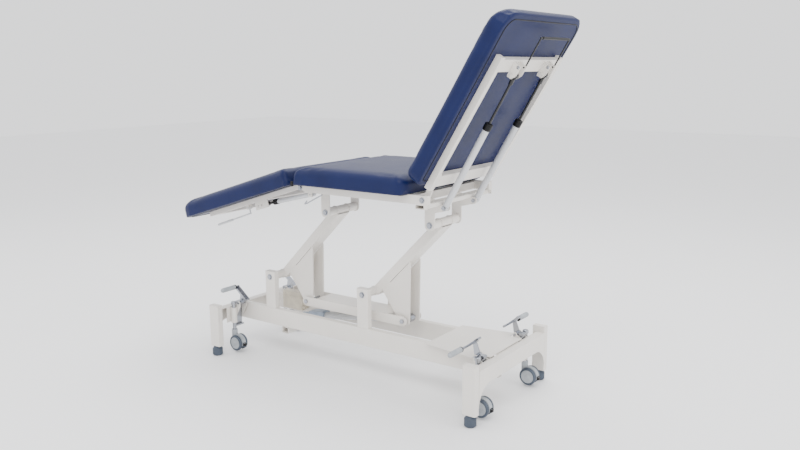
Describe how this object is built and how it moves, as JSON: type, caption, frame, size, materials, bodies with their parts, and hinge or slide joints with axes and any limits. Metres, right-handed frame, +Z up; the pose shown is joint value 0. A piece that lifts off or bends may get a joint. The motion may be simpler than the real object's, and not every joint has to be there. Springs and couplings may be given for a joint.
{
  "type": "treatment table",
  "caption": "Height-adjustable three-section treatment table: padded backrest, seat and leg section on a parallelogram lift with a push rod actuator, floor frame with pedal-lowered castors.",
  "frame": {"origin": "On the floor, at the middle of the whole table's length and width in the posture shown", "axes": "+X along the table towards the raised backrest's head end, +Y across it to the far side as pictured, +Z up"},
  "size_m": [1.7524, 0.644, 1.5354],
  "materials": {
    "cream_powder_coat": "smooth satin powder coat",
    "navy_vinyl": "fine-grained upholstery vinyl, semi-gloss",
    "chrome": "bright chrome plate",
    "slate_rubber": "matt moulded rubber",
    "slate_tyre": "smooth tread",
    "grey_plastic": "moulded, semi-gloss",
    "black_plastic": "fine matt texture",
    "grey_steel": "light grey enamel",
    "motor_grey": "moulded, semi-gloss",
    "beige_plastic": "fine matt texture",
    "black_steel": "black nitrided rod"
  },
  "bodies": {
    "floor_frame": {"side_rails": "cream_powder_coat", "lift_posts": "cream_powder_coat", "legs": "cream_powder_coat", "leg_caps": "cream_powder_coat", "feet": "slate_rubber", "end_beams": "cream_powder_coat", "cross_member": "cream_powder_coat", "castor_mounts": "cream_powder_coat", "tray": "cream_powder_coat", "control_box": "beige_plastic", "post_bolts": "chrome"},
    "foot_arm": {"foot_arm": "cream_powder_coat", "foot_link_bolt": "chrome"},
    "head_arm": {"head_arm": "cream_powder_coat", "head_link_bolt": "chrome"},
    "link_bar": {"link_bar": "cream_powder_coat"},
    "actuator_housing": {"motor_housing": "motor_grey", "actuator_tube": "grey_steel"},
    "actuator_rod": {"push_rod": "chrome"},
    "top_frame": {"seat_frame": "cream_powder_coat", "hangers": "cream_powder_coat", "seat_cushion": "navy_vinyl", "seat_bolts": "chrome"},
    "backrest": {"backrest_frame": "cream_powder_coat", "backrest_cushion": "navy_vinyl", "spring_plates": "cream_powder_coat"},
    "backrest_release": {"release_bar": "black_steel", "release_grip": "black_plastic"},
    "leg_section": {"leg_frame": "cream_powder_coat", "leg_cushion": "navy_vinyl"},
    "leg_release": {"leg_release": "grey_steel"},
    "near_spring_cylinder": {"near_spring_cylinder": "grey_steel", "near_spring_collar": "black_plastic"},
    "near_spring_rod": {"near_spring_rod": "black_steel"},
    "far_spring_cylinder": {"far_spring_cylinder": "grey_steel", "far_spring_collar": "black_plastic"},
    "far_spring_rod": {"far_spring_rod": "black_steel"},
    "leg_spring_cylinder": {"leg_spring_cylinder": "grey_steel", "leg_spring_collar": "black_plastic"},
    "leg_spring_rod": {"leg_spring_rod": "black_steel"},
    "pedal_foot_near": {"pedal_foot_near": "chrome", "grip_foot_near": "slate_rubber"},
    "stem_foot_near": {"stem_foot_near": "chrome"},
    "hood_foot_near": {"hood_foot_near": "grey_plastic"},
    "wheels_foot_near": {"wheels_foot_near": "slate_tyre"},
    "pedal_foot_far": {"pedal_foot_far": "chrome", "grip_foot_far": "slate_rubber"},
    "stem_foot_far": {"stem_foot_far": "chrome"},
    "hood_foot_far": {"hood_foot_far": "grey_plastic"},
    "wheels_foot_far": {"wheels_foot_far": "slate_tyre"},
    "pedal_head_near": {"pedal_head_near": "chrome", "grip_head_near": "slate_rubber"},
    "stem_head_near": {"stem_head_near": "chrome"},
    "hood_head_near": {"hood_head_near": "grey_plastic"},
    "wheels_head_near": {"wheels_head_near": "slate_tyre"},
    "pedal_head_far": {"pedal_head_far": "chrome", "grip_head_far": "slate_rubber"},
    "stem_head_far": {"stem_head_far": "chrome"},
    "hood_head_far": {"hood_head_far": "grey_plastic"},
    "wheels_head_far": {"wheels_head_far": "slate_tyre"}
  },
  "joints": [
    {"name": "lift", "type": "hinge", "parent": "floor_frame", "child": "foot_arm", "pos_m": [-0.47281, 0, 0.3725], "axis": [0, -1, 0], "range_deg": [-37, 6]},
    {"name": "head_arm_pivot", "type": "hinge", "parent": "floor_frame", "child": "head_arm", "pos_m": [0.07469, 0, 0.3725], "axis": [0, -1, 0], "range_deg": [-37.5, 6.5]},
    {"name": "link_bar_pivot", "type": "hinge", "parent": "foot_arm", "child": "link_bar", "pos_m": [-0.31081, 0, 0.265], "axis": [0, -1, 0], "range_deg": [-6.5, 37.5]},
    {"name": "top_frame_pivot", "type": "hinge", "parent": "foot_arm", "child": "top_frame", "pos_m": [-0.13952, 0, 0.70813], "axis": [0, -1, 0], "range_deg": [-6.5, 37.5]},
    {"name": "actuator_pivot", "type": "hinge", "parent": "floor_frame", "child": "actuator_housing", "pos_m": [-0.38581, 0, 0.172], "axis": [0, -1, 0], "range_deg": [-7.99, 2.13]},
    {"name": "actuator_stroke", "type": "slide", "parent": "actuator_housing", "child": "actuator_rod", "axis": [0.989, 0, 0.1478], "range_m": [-0.10264, 0.01832]},
    {"name": "backrest_hinge", "type": "hinge", "parent": "top_frame", "child": "backrest", "pos_m": [0.46919, 0, 0.836], "axis": [0, -1, 0], "range_deg": [-58.3, 3]},
    {"name": "near_spring_pivot", "type": "hinge", "parent": "top_frame", "child": "near_spring_cylinder", "pos_m": [0.49049, -0.12, 0.7901], "axis": [0, -1, 0], "range_deg": [-58.32, 3.95]},
    {"name": "near_spring_stroke", "type": "slide", "parent": "near_spring_cylinder", "child": "near_spring_rod", "axis": [0.4988, 0, 0.8667], "range_m": [-0.05026, 0.00448]},
    {"name": "far_spring_pivot", "type": "hinge", "parent": "top_frame", "child": "far_spring_cylinder", "pos_m": [0.49049, 0.12, 0.7901], "axis": [0, -1, 0], "range_deg": [-58.32, 3.95]},
    {"name": "far_spring_stroke", "type": "slide", "parent": "far_spring_cylinder", "child": "far_spring_rod", "axis": [0.4988, 0, 0.8667], "range_m": [-0.05026, 0.00448]},
    {"name": "leg_section_hinge", "type": "hinge", "parent": "top_frame", "child": "leg_section", "pos_m": [-0.15181, 0, 0.836], "axis": [0, 1, 0], "range_deg": [0, 17.3]},
    {"name": "leg_spring_pivot", "type": "hinge", "parent": "top_frame", "child": "leg_spring_cylinder", "pos_m": [-0.11581, -0.209, 0.806], "axis": [0, 1, 0], "range_deg": [-0.5, 16.34]},
    {"name": "leg_spring_stroke", "type": "slide", "parent": "leg_spring_cylinder", "child": "leg_spring_rod", "axis": [-0.9716, 0, -0.2368], "range_m": [-0.001, 0.01234]},
    {"name": "backrest_release", "type": "hinge", "parent": "backrest", "child": "backrest_release", "pos_m": [0.81032, 0, 1.32935], "axis": [0, -1, 0], "range_deg": [0, 8], "stiffness_Nm_per_rad": 4, "springref_deg": -11.46},
    {"name": "leg_release", "type": "hinge", "parent": "leg_section", "child": "leg_release", "pos_m": [-0.50186, -0.212, 0.71231], "axis": [0, 1, 0], "range_deg": [0, 6], "stiffness_Nm_per_rad": 4, "springref_deg": -11.46},
    {"name": "pedal_foot_near", "type": "hinge", "parent": "floor_frame", "child": "pedal_foot_near", "pos_m": [-0.62781, -0.1635, 0.234], "axis": [0, -1, 0], "range_deg": [0, 30]},
    {"name": "stem_foot_near", "type": "slide", "parent": "floor_frame", "child": "stem_foot_near", "axis": [0, 0, -1], "range_m": [0, 0.01516]},
    {"name": "swivel_foot_near", "type": "hinge", "parent": "stem_foot_near", "child": "hood_foot_near", "pos_m": [-0.64781, -0.2, 0.095], "axis": [0, 0, 1], "continuous": true},
    {"name": "spin_foot_near", "type": "hinge", "parent": "hood_foot_near", "child": "wheels_foot_near", "pos_m": [-0.62381, -0.2, 0.0455], "axis": [0, 1, 0], "continuous": true},
    {"name": "pedal_foot_far", "type": "hinge", "parent": "floor_frame", "child": "pedal_foot_far", "pos_m": [-0.62781, 0.1635, 0.234], "axis": [0, -1, 0], "range_deg": [0, 30]},
    {"name": "stem_foot_far", "type": "slide", "parent": "floor_frame", "child": "stem_foot_far", "axis": [0, 0, -1], "range_m": [0, 0.01516]},
    {"name": "swivel_foot_far", "type": "hinge", "parent": "stem_foot_far", "child": "hood_foot_far", "pos_m": [-0.64781, 0.2, 0.095], "axis": [0, 0, 1], "continuous": true},
    {"name": "spin_foot_far", "type": "hinge", "parent": "hood_foot_far", "child": "wheels_foot_far", "pos_m": [-0.62381, 0.2, 0.0455], "axis": [0, 1, 0], "continuous": true},
    {"name": "pedal_head_near", "type": "hinge", "parent": "floor_frame", "child": "pedal_head_near", "pos_m": [0.67219, -0.1635, 0.234], "axis": [0, 1, 0], "range_deg": [0, 30]},
    {"name": "stem_head_near", "type": "slide", "parent": "floor_frame", "child": "stem_head_near", "axis": [0, 0, -1], "range_m": [0, 0.01516]},
    {"name": "swivel_head_near", "type": "hinge", "parent": "stem_head_near", "child": "hood_head_near", "pos_m": [0.69219, -0.2, 0.095], "axis": [0, 0, 1], "continuous": true},
    {"name": "spin_head_near", "type": "hinge", "parent": "hood_head_near", "child": "wheels_head_near", "pos_m": [0.71619, -0.2, 0.0455], "axis": [0, 1, 0], "continuous": true},
    {"name": "pedal_head_far", "type": "hinge", "parent": "floor_frame", "child": "pedal_head_far", "pos_m": [0.67219, 0.1635, 0.234], "axis": [0, 1, 0], "range_deg": [0, 30]},
    {"name": "stem_head_far", "type": "slide", "parent": "floor_frame", "child": "stem_head_far", "axis": [0, 0, -1], "range_m": [0, 0.01516]},
    {"name": "swivel_head_far", "type": "hinge", "parent": "stem_head_far", "child": "hood_head_far", "pos_m": [0.69219, 0.2, 0.095], "axis": [0, 0, 1], "continuous": true},
    {"name": "spin_head_far", "type": "hinge", "parent": "hood_head_far", "child": "wheels_head_far", "pos_m": [0.71619, 0.2, 0.0455], "axis": [0, 1, 0], "continuous": true}
  ],
  "couplings": [
    {"joint": "head_arm_pivot", "follows": "lift", "ratio": 1},
    {"joint": "link_bar_pivot", "follows": "lift", "ratio": -1},
    {"joint": "top_frame_pivot", "follows": "lift", "ratio": -1},
    {"joint": "actuator_pivot", "follows": "lift", "ratio": 0.18883},
    {"joint": "actuator_stroke", "follows": "lift", "m_per_rad": 0.15585},
    {"joint": "near_spring_pivot", "follows": "backrest_hinge", "ratio": 0.98316},
    {"joint": "near_spring_stroke", "follows": "backrest_hinge", "m_per_rad": 0.047429},
    {"joint": "far_spring_pivot", "follows": "backrest_hinge", "ratio": 0.98316},
    {"joint": "far_spring_stroke", "follows": "backrest_hinge", "m_per_rad": 0.047429},
    {"joint": "leg_spring_pivot", "follows": "leg_section_hinge", "ratio": 0.88679},
    {"joint": "leg_spring_stroke", "follows": "leg_section_hinge", "m_per_rad": 0.034244},
    {"joint": "stem_foot_near", "follows": "pedal_foot_near", "m_per_rad": 0.028},
    {"joint": "stem_foot_far", "follows": "pedal_foot_far", "m_per_rad": 0.028},
    {"joint": "stem_head_near", "follows": "pedal_head_near", "m_per_rad": 0.028},
    {"joint": "stem_head_far", "follows": "pedal_head_far", "m_per_rad": 0.028}
  ]
}
